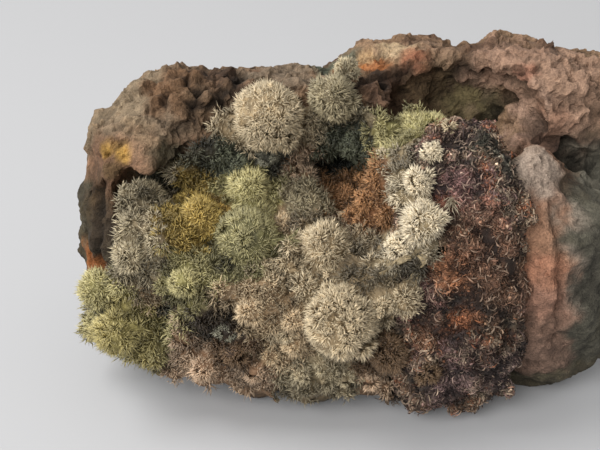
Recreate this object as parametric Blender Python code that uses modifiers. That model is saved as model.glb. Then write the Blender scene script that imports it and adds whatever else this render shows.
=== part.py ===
# Aragonite on its host rock: a cobble broken open at the front, whose hollow is lined with
# balls of radiating crystals, and a knob at the front right under a druse of its own.
# Metres, +Z up, +X to the right of someone who looks into the hollow, who stands at -Y.
# The origin is at the middle of the base.

import math
import random

import bmesh
import bpy
from mathutils import Euler, Matrix, Vector, noise
from mathutils.bvhtree import BVHTree

MM = 0.001

# The whole cobble
WIDTH = 69.0 * MM
DEPTH = 37.0 * MM
HEIGHT = 38.5 * MM
SUNK = 2.5 * MM         # how much of the rounded underside is cut off flat at the base
BOXINESS = 2.7          # 2 is an ellipsoid, higher is nearer to a box
BACK_SHIFT = 2.5 * MM   # the cobble's middle lies behind the origin, the knob stands out in front

# Fine forms of the rock
VOXEL = 0.75 * MM
LUMP_SIZE = 8.0 * MM
LUMP_HEIGHT = 1.7 * MM
PIT_SIZE = 2.8 * MM
PIT_HEIGHT = 0.8 * MM
MASS_BOXINESS = 2.35    # the same for the masses that are added
ROCK_TRIANGLES = 3300
NEAR_TRIANGLES = 2600   # the forms that the crust and the druse are cut with
REACH_TRIANGLES = 700

# Crust and druse
SEED = 11
GAP = 0.6 * MM          # clear space between crust and rock
OFF_FLOOR = 0.9 * MM    # the crust and the druse end this far above the base
LINING = 1.1 * MM       # thickness of the crust between its balls
DRUSE = 2.0 * MM        # thickness of the druse on the knob
CRUST_TRIANGLES = 4400
DRUSE_TRIANGLES = 800
SPIKE_BASE = 0.70       # where a ball's spikes start, as a share of its radius
SPIKE_SPREAD = 0.12     # how unlike in length the spikes are
FILL_BALLS = 55         # small balls that fill the crust between the named ones
FILL_TRIES = 4000
FILL_RADIUS = (1.1, 1.9)        # mm
FILL_ACROSS = (-33.0, 8.0)      # mm across the face
FILL_UP = (-8.0, 33.0)          # mm up the face
CROWDING = 0.8          # how near two balls may stand, as a share of both radii
BALL_PROUD = 0.5        # how far a ball's middle stands off the rock, as a share of its radius
FINE_FROM = 3.0         # mm, the radius from which a ball has 80 crystals and not 20

# Masses of the rock besides the cobble: centre, half sizes (mm), turn about Y and Z (degrees)
MASSES = {
    "left_crest": ((-18.5, 5.5, 33.0), (9.5, 7.0, 4.4), 4, 0),
    "left_shoulder": ((-27.5, 1.5, 25.0), (5.5, 9.0, 10.0), 0, 0),
    "top_ledge": ((7.0, 10.0, 35.3), (12.5, 7.0, 3.0), -9, 0),
    "back_right": ((22.5, 8.0, 30.0), (11.5, 10.5, 10.0), 10, 0),
    "right_shoulder": ((23.5, -3.5, 14.5), (8.5, 11.0, 15.0), 0, 12),
    "front_sill": ((-5.0, -5.5, 9.0), (18.0, 5.5, 6.5), 0, 0),
    "middle_rib": ((-8.0, -1.0, 17.0), (18.0, 7.0, 7.0), 0, 0),
}

# Hollows cut into it, given in the same way
HOLLOWS = {
    "vug": ((-8.5, -16.0, 34.0), (18.5, 17.5, 16.5), 0, 0),
    "deep_recess": ((-1.0, 0.0, 27.0), (7.0, 9.0, 4.6), 0, 0),
    "left_recess": ((-23.0, -5.0, 26.0), (6.5, 7.0, 4.0), 0, 0),
    "upper_pocket": ((13.0, -1.0, 33.5), (8.5, 10.5, 7.0), 0, 0),
    "under_ledge": ((6.0, 3.0, 34.6), (9.0, 5.0, 1.7), -9, 0),
    "right_crack": ((27.0, -4.5, 29.0), (6.5, 6.5, 1.5), 32, 0),
    "low_cleft": ((-22.0, -11.0, 14.0), (3.0, 5.0, 6.0), -20, 0),
    "left_undercut": ((-35.0, -9.0, -1.0), (16.5, 14.0, 6.8), -10, 0),
    "front_undercut": ((-12.0, -16.0, -1.0), (24.0, 9.0, 5.0), 0, 0),
    "right_undercut": ((39.0, -9.0, -1.0), (10.0, 13.0, 6.0), 20, 0),
}

# The knob, an upright pillar that leans back
KNOB_CENTRE = (10.8, -8.6, 17.6)
KNOB_HALF = (10.2, 8.6, 17.5)
KNOB_BOXINESS = 3.0
KNOB_LEAN = 9           # degrees, its top away from the front
KNOB_BREAK_X = 20.2     # mm, the upright face where its right side broke off
KNOB_LUMP_SIZE = 4.2 * MM
KNOB_LUMP_HEIGHT = 1.5 * MM

# The druse covers the knob inside this form, and the crust's fringe its left flank
DRUSE_REACH = ((22.0, -8.0, 15.0), (19.0, 30.0, 30.0), 0, 0)

# Where the crust grows: the inside of these forms
CRUST_REACH = {
    "hollow": ((-6.0, -7.0, 20.5), (16.5, 13.5, 16.5), 0, 0),
    "left_column": ((-22.5, -7.0, 16.5), (6.0, 12.0, 10.5), 0, 0),
    "lower_left": ((-24.5, -8.0, 6.0), (9.5, 12.0, 7.5), 0, 0),
    "front_foot": ((-8.0, -10.5, 7.0), (19.0, 9.5, 8.0), 0, 0),
    "knob_flank": ((4.5, -9.0, 22.0), (5.8, 10.0, 14.0), 15, 0),
}

# The crust's larger balls: place across, place up and radius in mm, as they are seen
# from in front and FACE_TILT degrees above
FACE_TILT = 28
BALLS = {
    "top": ((-10.0, 30.8, 4.6), (-2.5, 32.0, 3.2), (-0.5, 33.5, 1.8), (6.0, 27.5, 4.0)),
    "back of the hollow": (
        (-14.5, 24.5, 2.0), (-11.0, 25.5, 1.8), (1.0, 28.0, 2.0), (3.0, 25.5, 2.0), (-8.5, 23.5, 1.2),
    ),
    "yellow": (
        (-18.5, 19.8, 2.0), (-19.0, 15.5, 3.2), (-16.0, 17.0, 1.8), (-13.8, 20.2, 3.2),
        (-11.5, 17.5, 2.5), (-13.5, 12.8, 4.4),
    ),
    "left": (
        (-27.5, 18.5, 2.0), (-25.5, 18.0, 2.5), (-25.5, 14.0, 2.5), (-23.5, 11.5, 2.5),
        (-29.2, 10.6, 2.8), (-26.5, 5.0, 3.3), (-29.0, 5.6, 1.8),
    ),
    "middle": (
        (-19.0, 10.5, 2.0), (-20.0, 7.0, 2.5), (-3.6, 14.8, 3.4), (-8.0, 16.0, 2.5), (-6.5, 18.5, 1.8),
        (-9.0, 11.5, 2.0), (-11.0, 10.5, 1.5), (-11.5, 8.0, 2.2), (-7.5, 7.0, 2.0), (-2.5, 10.0, 1.2),
        (-5.0, 11.5, 1.2), (-1.0, 19.0, 1.5), (2.0, 20.5, 1.5), (0.5, 17.0, 1.5),
    ),
    "front": (
        (-1.0, 6.8, 4.8), (3.0, 8.5, 1.8), (4.5, 3.0, 2.8), (8.0, 1.0, 1.8), (2.0, 0.2, 1.7),
        (-19.0, 4.2, 2.0), (-17.0, 1.5, 2.1), (-14.0, 3.0, 1.9), (-12.0, 0.8, 1.7), (-7.5, 3.5, 2.0),
        (-8.5, 6.0, 1.6), (-6.5, 0.2, 1.7), (-1.5, 0.0, 1.4), (-4.0, 1.2, 1.5), (-10.0, 2.5, 1.5),
        (-22.0, 3.5, 1.6), (-14.5, 5.5, 1.5), (-23.0, 6.0, 1.6),
    ),
    "fringe of the knob": (
        (4.5, 17.0, 3.0), (4.0, 14.5, 2.0), (7.0, 21.0, 2.0), (8.5, 24.0, 1.6), (3.0, 19.5, 1.6),
        (10.0, 26.5, 1.2),
    ),
}


def clear_scene():
    for old in list(bpy.data.objects):
        bpy.data.objects.remove(old, do_unlink=True)


def new_collection(name):
    made = bpy.data.collections.new(name)
    bpy.context.scene.collection.children.link(made)
    return made


def principled(name, hex_colour, roughness):
    """A material whose colour is given as it looks on a screen."""
    screen = [int(hex_colour[i:i + 2], 16) / 255 for i in (0, 2, 4)]
    linear = [c / 12.92 if c <= 0.04045 else ((c + 0.055) / 1.055) ** 2.4 for c in screen]
    made = bpy.data.materials.new(name)
    made.use_nodes = True
    shader = made.node_tree.nodes["Principled BSDF"]
    shader.inputs["Base Color"].default_value = (*linear, 1)
    shader.inputs["Roughness"].default_value = roughness
    made.diffuse_color = (*linear, 1)
    return made


def object_of(name, bm, collection):
    mesh = bpy.data.meshes.new(name)
    bm.to_mesh(mesh)
    bm.free()
    made = bpy.data.objects.new(name, mesh)
    collection.objects.link(made)
    return made


def apply_modifiers(obj):
    """Turns what the modifiers show into the object's own mesh."""
    graph = bpy.context.evaluated_depsgraph_get()
    mesh = bpy.data.meshes.new_from_object(obj.evaluated_get(graph), depsgraph=graph)
    obj.modifiers.clear()
    obj.data = mesh
    return obj


def blob(name, form, collection, subdivisions=4, grow=0.0, lumps=(0.0, 1.0), power=2.0):
    """An ellipsoid, or with a higher power a rounded box, with noise raised on it and turned into place."""
    centre, half, turn_y, turn_z = form
    bm = bmesh.new()
    bmesh.ops.create_icosphere(bm, subdivisions=subdivisions, radius=1.0)
    height, size = lumps
    turn = Euler((0, math.radians(turn_y), math.radians(turn_z))).to_matrix()
    middle = Vector(centre) * MM
    for vert in bm.verts:
        way = vert.co.normalized()
        reach = sum(abs(c) ** power for c in way) ** (-1 / power)
        point = Vector(w * reach * (h * MM + grow) for w, h in zip(way, half))
        place = turn @ point + middle
        rise = height * noise.fractal(place / size, 0.8, 2.0, 3) if height else 0.0
        vert.co = place + (turn @ way) * rise
    return object_of(name, bm, collection)


def join_into_one(objects, name):
    """One object with the meshes of all, still overlapping."""
    bm = bmesh.new()
    for obj in objects:
        bm.from_mesh(obj.data)
    made = object_of(name + "_joined", bm, objects[0].users_collection[0])
    for obj in objects:
        bpy.data.objects.remove(obj, do_unlink=True)
    made.name = name
    return made


def remeshed(obj, voxel):
    step = obj.modifiers.new("one skin", "REMESH")
    step.mode = "VOXEL"
    step.voxel_size = voxel
    step.adaptivity = 0.0
    return apply_modifiers(obj)


def decimated(obj, triangles):
    obj.data.calc_loop_triangles()
    step = obj.modifiers.new("fewer faces", "DECIMATE")
    step.ratio = min(1.0, triangles / len(obj.data.loop_triangles))
    step.use_collapse_triangulate = True
    return apply_modifiers(obj)


def boolean(obj, other, operation, solver="EXACT"):
    step = obj.modifiers.new(operation.lower(), "BOOLEAN")
    step.operation = operation
    step.object = other
    step.solver = solver
    return apply_modifiers(obj)


def raise_noise(obj, height, size):
    """Moves each point along its normal by fractal noise of this size."""
    mesh = obj.data
    normals = [Vector(v.vector) for v in mesh.vertex_normals]
    for vert, normal in zip(mesh.vertices, normals):
        vert.co += normal * height * noise.fractal(vert.co / size, 0.9, 2.1, 3)
    mesh.update()


def grown(rock, distance, name, triangles, collection):
    """A copy of the rock, thicker by this distance all over."""
    copy = bpy.data.objects.new(name, rock.data.copy())
    collection.objects.link(copy)
    mesh = copy.data
    normals = [Vector(v.vector) for v in mesh.vertex_normals]
    for vert, normal in zip(mesh.vertices, normals):
        vert.co += normal * distance
    mesh.update()
    return decimated(remeshed(copy, VOXEL), triangles)


def largest_body(obj):
    """Removes the crumbs that a cut leaves, all but the largest connected body."""
    bm = bmesh.new()
    bm.from_mesh(obj.data)
    seen = set()
    bodies = []
    for first in bm.verts:
        if first in seen:
            continue
        seen.add(first)
        body = [first]
        for vert in body:
            others = [edge.other_vert(vert) for edge in vert.link_edges]
            fresh = [other for other in others if other not in seen]
            seen.update(fresh)
            body += fresh
        bodies.append(body)
    bodies.sort(key=len)
    for body in bodies[:-1]:
        bmesh.ops.delete(bm, geom=body, context="VERTS")
    bm.to_mesh(obj.data)
    bm.free()
    return obj


def grow_ball(crust, centre, radius, subdivisions, rng):
    """Joins to the crust a ball of pyramids: an icosphere's faces, each raised at its middle to a tip."""
    ball = bmesh.new()
    bmesh.ops.create_icosphere(ball, subdivisions=subdivisions, radius=radius * SPIKE_BASE)
    poked = bmesh.ops.poke(ball, faces=ball.faces[:])
    for tip in poked["verts"]:
        tip.co = tip.co.normalized() * radius * (1 + SPIKE_SPREAD * rng.uniform(-1, 1))
    turn = Euler([rng.uniform(0, math.tau) for _ in range(3)]).to_matrix()
    for vert in ball.verts:
        vert.co = turn @ vert.co + centre
    # The exact solver leaves open edges where this many spiky balls meet.
    made = object_of("ball", ball, crust.users_collection[0])
    boolean(crust, made, "UNION", "MANIFOLD")
    bpy.data.objects.remove(made, do_unlink=True)


def on_face(tree, across, up, radius):
    """The middle of a ball that stands a little proud of the rock at this place on its face."""
    tilt = math.radians(FACE_TILT)
    inward = Vector((0, math.cos(tilt), -math.sin(tilt)))
    start = Vector((across, up * math.sin(tilt), up * math.cos(tilt))) - inward * 0.1
    place, normal, _, _ = tree.ray_cast(start, inward)
    return None if place is None else place + normal * (radius * BALL_PROUD + LINING * 0.5)


def fill_crust(crust, tree, placed, rng):
    """Small balls at random between the placed ones, wherever the crust has room."""
    left = FILL_BALLS
    for _ in range(FILL_TRIES):
        radius = rng.uniform(*FILL_RADIUS) * MM
        centre = on_face(tree, rng.uniform(*FILL_ACROSS) * MM, rng.uniform(*FILL_UP) * MM, radius)
        if left == 0 or centre is None or not in_crust(centre):
            continue
        if any((centre - other).length < CROWDING * (radius + size) for other, size in placed):
            continue
        grow_ball(crust, centre, radius, 1, rng)
        placed.append((centre, radius))
        left -= 1


def in_crust(place):
    """Whether a place lies well inside a form that bounds the crust."""
    return any(sum(((place[i] / MM - middle[i]) / half[i]) ** 2 for i in range(3)) < 0.9
               for middle, half, _, _ in CRUST_REACH.values())


def below(height, collection):
    """A wide block that reaches up to this height, to cut the base flat with."""
    bm = bmesh.new()
    bmesh.ops.create_cube(bm, size=0.2)
    for vert in bm.verts:
        vert.co.z += height - 0.1
    return object_of("below_base", bm, collection)


def knob_blob(name, collection, grow):
    """The knob's form, grown or shrunk, with its right side broken off upright."""
    knob = blob(name, (KNOB_CENTRE, KNOB_HALF, 0, 0), collection, 4, grow,
                (KNOB_LUMP_HEIGHT, KNOB_LUMP_SIZE), KNOB_BOXINESS)
    middle = Vector(KNOB_CENTRE) * MM
    lean = Euler((math.radians(-KNOB_LEAN), 0, 0)).to_matrix()
    break_x = KNOB_BREAK_X * MM + grow
    for vert in knob.data.vertices:
        place = lean @ (vert.co - middle) + middle
        place.x = min(place.x, break_x)
        vert.co = place
    return knob


def make_rock(parts, helpers):
    """The cobble and its masses, with the hollows cut out and the knob's core set in."""
    cobble = ((0.0, BACK_SHIFT / MM, (HEIGHT - SUNK) / MM / 2 - 1.0),
              (WIDTH / MM / 2 - 1.0, DEPTH / MM / 2 - 1.0, (HEIGHT + SUNK) / MM / 2 - 1.0), 0, 0)
    lumps = (LUMP_HEIGHT, LUMP_SIZE)
    masses = [blob("cobble", cobble, parts, 5, 0.0, lumps, BOXINESS)]
    masses += [blob(name, form, parts, 4, 0.0, lumps, MASS_BOXINESS) for name, form in MASSES.items()]
    rock = remeshed(join_into_one(masses, "host_rock"), VOXEL)

    lumps = (LUMP_HEIGHT, LUMP_SIZE / 2)
    hollows = [blob(name, form, helpers, 4, 0.0, lumps) for name, form in HOLLOWS.items()]
    boolean(rock, remeshed(join_into_one(hollows, "hollows"), VOXEL), "DIFFERENCE")

    core = knob_blob("knob_core", parts, -DRUSE)
    rock = remeshed(join_into_one([rock, core], "host_rock"), VOXEL)
    raise_noise(rock, PIT_HEIGHT, PIT_SIZE)
    return largest_body(remeshed(rock, VOXEL))


def make_crust(rock, near_rock, parts, helpers):
    """A lining on the rock inside the crust's reach, with the spiky balls grown into it."""
    crust = grown(rock, GAP + LINING, "crystal_crust", NEAR_TRIANGLES, parts)
    lumps = (LUMP_HEIGHT, LUMP_SIZE / 2)
    forms = [blob(name, form, helpers, 4, 0.0, lumps, MASS_BOXINESS) for name, form in CRUST_REACH.items()]
    reach = decimated(remeshed(join_into_one(forms, "crust_reach"), VOXEL), REACH_TRIANGLES)
    boolean(crust, reach, "INTERSECT", "MANIFOLD")

    rng = random.Random(SEED)
    tree = BVHTree.FromObject(near_rock, bpy.context.evaluated_depsgraph_get())
    placed = []
    for across, up, radius in [ball for zone in BALLS.values() for ball in zone]:
        centre = on_face(tree, across * MM, up * MM, radius * MM)
        if centre is not None:
            grow_ball(crust, centre, radius * MM, 2 if radius >= FINE_FROM else 1, rng)
            placed.append((centre, radius * MM))
    fill_crust(crust, tree, placed, rng)
    decimated(crust, CRUST_TRIANGLES)

    boolean(crust, near_rock, "DIFFERENCE", "MANIFOLD")
    keep_out = knob_blob("wide_knob", helpers, GAP)
    boolean(keep_out, druse_reach("wide_reach", helpers, GAP), "INTERSECT", "MANIFOLD")
    boolean(crust, keep_out, "DIFFERENCE", "MANIFOLD")
    boolean(crust, below(OFF_FLOOR, helpers), "DIFFERENCE", "MANIFOLD")
    return largest_body(crust)


def druse_reach(name, collection, grow):
    return blob(name, DRUSE_REACH, collection, 4, grow, (LUMP_HEIGHT, LUMP_SIZE / 3))


def make_druse(near_rock, parts, helpers):
    """The skin between the knob's core and its outer form."""
    druse = knob_blob("knob_druse", parts, 0.0)
    boolean(druse, druse_reach("reach", helpers, 0.0), "INTERSECT")
    boolean(druse, near_rock, "DIFFERENCE")
    boolean(druse, below(OFF_FLOOR, helpers), "DIFFERENCE")
    return decimated(largest_body(druse), DRUSE_TRIANGLES)


def centre_over_origin(nodes, others):
    """Moves everything level, so that the middle of the nodes' box lies over the origin."""
    corners = [vert.co.xy for obj in nodes for vert in obj.data.vertices]
    across = [corner.x for corner in corners]
    deep = [corner.y for corner in corners]
    shift = Vector((-(min(across) + max(across)) / 2, -(min(deep) + max(deep)) / 2, 0))
    for obj in [*nodes, *others]:
        obj.data.transform(Matrix.Translation(shift))


def main():
    clear_scene()
    parts = new_collection("aragonite_specimen")
    helpers = new_collection("cutters")
    rock = make_rock(parts, helpers)
    near_rock = grown(rock, GAP, "near_rock", NEAR_TRIANGLES, helpers)
    crust = make_crust(rock, near_rock, parts, helpers)
    druse = make_druse(near_rock, parts, helpers)
    boolean(decimated(rock, ROCK_TRIANGLES), below(0.0, helpers), "DIFFERENCE")
    largest_body(rock)
    centre_over_origin([rock, crust, druse], helpers.objects)

    looks = (
        (rock, "weathered_rock", "8E6A50", 0.85),
        (crust, "aragonite", "CFC3A2", 0.5),
        (druse, "iron_stained_druse", "5E4640", 0.7),
    )
    for obj, name, colour, roughness in looks:
        obj.data.materials.clear()
        obj.data.materials.append(principled(name, colour, roughness))
    for helper in helpers.objects:
        helper.hide_render = True
        helper.display_type = "WIRE"


main()
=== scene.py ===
# Aragonite specimen: a broken cobble, its hollow lined with balls of needles, and a stained knob.
# All lengths in the dictionaries are in millimetres and colours are sRGB hex values.
import math
import bmesh
import bpy
import numpy as np
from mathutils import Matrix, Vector
from mathutils.bvhtree import BVHTree


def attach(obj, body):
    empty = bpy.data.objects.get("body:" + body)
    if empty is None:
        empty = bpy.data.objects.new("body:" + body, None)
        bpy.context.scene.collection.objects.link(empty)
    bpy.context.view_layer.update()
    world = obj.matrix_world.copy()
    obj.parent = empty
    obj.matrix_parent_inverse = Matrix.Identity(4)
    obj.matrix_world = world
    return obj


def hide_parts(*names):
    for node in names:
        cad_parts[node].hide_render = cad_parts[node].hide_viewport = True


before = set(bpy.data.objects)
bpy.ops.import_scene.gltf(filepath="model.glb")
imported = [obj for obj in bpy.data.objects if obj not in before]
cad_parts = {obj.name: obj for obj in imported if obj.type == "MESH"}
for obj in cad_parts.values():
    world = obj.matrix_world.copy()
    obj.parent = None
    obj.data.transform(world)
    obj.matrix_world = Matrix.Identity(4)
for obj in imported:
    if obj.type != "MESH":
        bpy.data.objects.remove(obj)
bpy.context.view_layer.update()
mm = 0.001
chance = np.random.default_rng(21)


# camera, as far away and as steep as the photo's

view = {"lens": 70.0, "sensor": 36.0, "tilt": 28.0, "target": (-6.477, 0.979, 19.0), "distance": 145.83}

tilt = math.radians(view["tilt"])
inward = Vector((0, math.cos(tilt), -math.sin(tilt)))
upward = Vector((0, math.sin(tilt), math.cos(tilt)))
eye = Vector(view["target"]) * mm - inward * view["distance"] * mm

cameraData = bpy.data.cameras.new("camera")
cameraData.lens = view["lens"]
cameraData.sensor_width = view["sensor"]
cameraData.clip_start = 0.005
camera = bpy.data.objects.new("camera", cameraData)
camera.location = eye
camera.rotation_euler = inward.to_track_quat("-Z", "Y").to_euler()
bpy.context.scene.collection.objects.link(camera)
bpy.context.scene.camera = camera


# small tools

def linear(hexColour):
    # sRGB to linear light: c / 12.92 near black, otherwise ((c + 0.055) / 1.055) to the power 2.4
    screen = np.array([int(hexColour[i:i + 2], 16) for i in (1, 3, 5)]) / 255
    return np.where(screen <= 0.04045, screen / 12.92, ((screen + 0.055) / 1.055) ** 2.4)


def rgba(hexColour):
    return (*linear(hexColour), 1.0)


def mixed(first, second, share):
    # the first, and as much of the second as this share
    return first * (1 - share) + second * share


def hashed(cells, seed):
    # a repeatable number from 0 to 1 for each whole-number cell: its three numbers are mixed with
    # large odd factors, and the high bits folded onto the low ones
    c = cells.astype(np.int64)
    h = (c[:, 0] * 374761393 + c[:, 1] * 668265263 + c[:, 2] * 1442695041 + seed * 1274126177) & 0xFFFFFFFF
    h = ((h ^ (h >> 13)) * 1274126177) & 0xFFFFFFFF
    return ((h ^ (h >> 16)) & 0xFFFFFF) / 0xFFFFFF


def smoothNoise(points, seed):
    # value noise, -1 to 1: random numbers at the corners of a lattice, blended by 3t^2 - 2t^3 on each axis
    base = np.floor(points)
    t = points - base
    t = t * t * (3 - 2 * t)
    total = np.zeros(len(points))
    for corner in np.ndindex(2, 2, 2):
        weight = np.prod(np.where(np.array(corner) == 1, t, 1 - t), axis=1)
        total += weight * hashed(base + corner, seed)
    return total * 2 - 1


def fractalNoise(points, size, octaves, seed):
    # smooth noise of this size in mm, and on it octaves of half the size and 0.55 of the height
    total = np.zeros(len(points))
    for k in range(octaves):
        total += 0.55 ** k * smoothNoise(points / (size * mm) * 2 ** k + 17.3 * k, seed + k)
    return total


def shaken(points, size, octaves, seed, reach):
    # every place moved by this reach in mm times a smooth noise, which is another one on each axis
    push = np.stack([fractalNoise(points, size, octaves, seed + k) for k in range(3)], axis=1)
    return points + push * reach * mm


def nearestCell(points, size, seed):
    # each lattice cell has a random dot: how far the nearest dot is, in cells, and that dot's number, 0 to 1
    p = points / (size * mm)
    base = np.floor(p)
    nearest, number = np.full(len(p), 9.0), np.zeros(len(p))
    for step in np.ndindex(3, 3, 3):
        cell = base + step - 1
        dot = cell + np.stack([hashed(cell, seed + k) for k in range(3)], axis=1)
        far = ((p - dot) ** 2).sum(axis=1)
        number = np.where(far < nearest, hashed(cell, seed + 5), number)
        nearest = np.minimum(nearest, far)
    return np.sqrt(nearest), number


def cellDistance(points, size, seed):
    return nearestCell(points, size, seed)[0]


def smoothStep(low, high, value):
    # 0 below low, 1 above high, and 3t^2 - 2t^3 between them
    t = np.clip((value - low) / (high - low), 0, 1)
    return t * t * (3 - 2 * t)


def unit(vectors):
    return vectors / np.maximum(np.linalg.norm(vectors, axis=-1, keepdims=True), 1e-12)


def acrossOf(ways):
    # two directions square to each way: its cross product with z, or with x where it is near z, and with that one
    helper = np.where(np.abs(ways[:, 2:3]) < 0.8, np.array([[0.0, 0.0, 1.0]]), np.array([[1.0, 0.0, 0.0]]))
    first = unit(np.cross(ways, helper))
    return first, np.cross(ways, first)


def turned(sideA, sideB, angle):
    # the direction at this angle from one side towards the other: one's cosine share and the other's sine share
    return sideA * np.cos(angle)[:, None] + sideB * np.sin(angle)[:, None]


def sideways(ways):
    # a random direction square to each way
    return turned(*acrossOf(ways), chance.uniform(0, 2 * np.pi, len(ways)))


def fanned(ways, spread):
    # each way plus a random push sideways; the root of the random share spreads the pushes evenly over a disc
    side = sideways(ways)
    push = np.sqrt(chance.uniform(0, 1, len(ways))) * spread
    return unit(ways + side * push[:, None])


def rowsOf(items, field):
    # a field of three numbers of every item of a mesh, one row each
    flat = np.empty(len(items) * 3, np.float32)
    items.foreach_get(field, flat)
    return flat.reshape(-1, 3).astype(float)


def pointsOf(mesh):
    return rowsOf(mesh.vertices, "co")


def normalsOf(mesh):
    return rowsOf(mesh.vertex_normals, "vector")


def setPoints(mesh, points):
    mesh.vertices.foreach_set("co", points.astype(np.float32).ravel())
    mesh.update()


def setTint(mesh, colours):
    # the colour of each point, which the materials read
    tint = mesh.color_attributes.new("tint", "FLOAT_COLOR", "POINT")
    four = np.concatenate([colours, np.ones((len(colours), 1))], axis=1)
    tint.data.foreach_set("color", four.astype(np.float32).ravel())


def asPiece(obj, material):
    obj.data.materials.clear()
    obj.data.materials.append(material)
    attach(obj, "root")


def softened(obj, rounds):
    # smooths the facets away this many times, and keeps what all its modifiers make
    soft = obj.modifiers.new("soft", "SMOOTH")
    soft.factor = 0.5
    soft.iterations = rounds
    graph = bpy.context.evaluated_depsgraph_get()
    mesh = bpy.data.meshes.new_from_object(obj.evaluated_get(graph), depsgraph=graph)
    obj.modifiers.clear()
    obj.data = mesh
    return obj


def fineCopy(node, name, square, rounds):
    # the CAD node with its points merged, its skin made new in even squares, and its facets smoothed away
    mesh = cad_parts[node].data.copy()
    bm = bmesh.new()
    bm.from_mesh(mesh)
    bmesh.ops.remove_doubles(bm, verts=bm.verts, dist=1e-6)
    bm.to_mesh(mesh)
    bm.free()
    copy = bpy.data.objects.new(name, mesh)
    bpy.context.scene.collection.objects.link(copy)
    skin = copy.modifiers.new("skin", "REMESH")
    skin.mode = "VOXEL"
    skin.voxel_size = square * mm
    skin.adaptivity = 0
    return softened(copy, rounds)


def treeOf(mesh):
    points = pointsOf(mesh)
    corners = np.empty(len(mesh.loops), np.int32)
    mesh.loops.foreach_get("vertex_index", corners)
    starts = np.empty(len(mesh.polygons), np.int32)
    mesh.polygons.foreach_get("loop_start", starts)
    ends = np.append(starts[1:], len(corners))
    faces = [corners[a:b].tolist() for a, b in zip(starts, ends)]
    return BVHTree.FromPolygons(points.tolist(), faces)


def seenAt(tree, u, v):
    # the place on a surface that stands at this pixel of the 600 x 450 picture: the ray goes in by the lens's
    # length, and sideways and up by the pixel's distance from the middle times the sensor's width / 600
    side = (u - 300) * view["sensor"] / 600
    rise = (225 - v) * view["sensor"] / 600
    ray = (inward * view["lens"] + Vector((side, 0, 0)) + upward * rise).normalized()
    return tree.ray_cast(eye, ray)[0]


def painted(points, ground, patches, tree, roughEdge, seed):
    # lays each patch over the last: its share is a smooth step of 1 - distance / reach, shaken by noise
    wobble = fractalNoise(points, 2.4, 4, seed) * roughEdge
    colours = ground.copy()
    for name, (u, v, reach, hexColour, share) in patches.items():
        place = seenAt(tree, u, v)
        if place is None:
            print("patch", name, "meets nothing")
            continue
        near = 1 - np.linalg.norm(points - np.array(place), axis=1) / (reach * mm)
        mask = (smoothStep(-0.25, 0.5, near + wobble) * share)[:, None]
        colours = mixed(colours, linear(hexColour), mask)
    return colours


# shader tools

def newMaterial(name, roughness, ior, specular):
    made = bpy.data.materials.new(name)
    made.use_nodes = True
    shader = made.node_tree.nodes["Principled BSDF"]
    shader.inputs["Roughness"].default_value = roughness
    shader.inputs["IOR"].default_value = ior
    shader.inputs["Specular IOR Level"].default_value = specular
    return made, shader


def node(material, kind, settings, links):
    # adds one node; settings go to its properties or its input sockets, links are (output socket, input name)
    made = material.node_tree.nodes.new(kind)
    for key, value in settings.items():
        if isinstance(key, str) and hasattr(made, key):
            setattr(made, key, value)
        else:
            made.inputs[key].default_value = value
    for source, target in links:
        material.node_tree.links.new(source, made.inputs[target])
    return made


def feed(material, shader, sources):
    # joins each of these outputs to the shader's input of that name
    for name, source in sources.items():
        material.node_tree.links.new(source, shader.inputs[name])


def placeAndTint(material):
    # the place on the piece, and the colour that its points carry
    place = node(material, "ShaderNodeTexCoord", {}, []).outputs["Object"]
    tint = node(material, "ShaderNodeVertexColor", {"layer_name": "tint"}, []).outputs["Color"]
    return place, tint


def noiseAt(material, place, size, detail, roughness=0.5):
    # noise of this size in mm
    settings = {"Scale": 1 / (size * mm), "Detail": detail, "Roughness": roughness}
    return node(material, "ShaderNodeTexNoise", settings, [(place, "Vector")]).outputs["Fac"]


def ranged(material, value, low, high, least, most):
    # the stretch of a value from low to high, laid out from least to most
    settings = {"From Min": low, "From Max": high, "To Min": least, "To Max": most}
    return node(material, "ShaderNodeMapRange", settings, [(value, "Value")]).outputs[0]


def product(material, first, second):
    return node(material, "ShaderNodeMath", {"operation": "MULTIPLY"}, [(first, 0), (second, 1)]).outputs[0]


def scaled(material, colour, amount):
    return node(material, "ShaderNodeVectorMath", {"operation": "SCALE"},
                [(colour, 0), (amount, "Scale")]).outputs[0]


def bumped(material, height, strength, depth):
    # a bump as deep as this in mm
    return node(material, "ShaderNodeBump", {"Strength": strength, "Distance": depth * mm},
                [(height, "Height")]).outputs[0]


# rock: fine-grained reddish brown volcanic rock, weathered outside, rough where it broke

rockLook = {
    "square": 0.41, "smoothing": 2, "fineSize": 1.3, "fineHeight": 0.22, "pitSize": 2.6, "pitDepth": 0.7,
    "lumpSize": 4.5, "lumpHeight": 0.5, "plateSize": 3.6, "plateHeight": 1.1, "chipSize": 1.5, "chipHeight": 0.6,
    "bend": 0.55,  # how far noise bends the edges of the plates and chips
    "worn": 0.65,  # how much of the plates, chips and pits the old outside has lost
    "flatBelow": 1.5,  # the underside is left flat, and the relief is whole from this height up
    "boxMiddle": (0, 3.5, 17), "boxHalf": (33.5, 17.5, 19.5),  # the cobble's old outside
    "freshTop": (29, 35),  # broken again above the first height, everywhere above the second
    "crumbs": (205, 82, 7.5),  # the brown crust on the crest: pixel across, pixel down, reach
    "crumbSize": 1.7, "crumbHeight": 1.9,
    "rind": "#57503f", "rindDark": "#3b352a", "broken": "#8f7359", "brokenDark": "#5d4535",
    "blotchSize": 1.3, "grainSize": 0.55, "gritSize": 0.22, "relief": 0.7,
    "bareSquare": 0.8,  # squares of the plain copies that places are measured from
}

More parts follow.
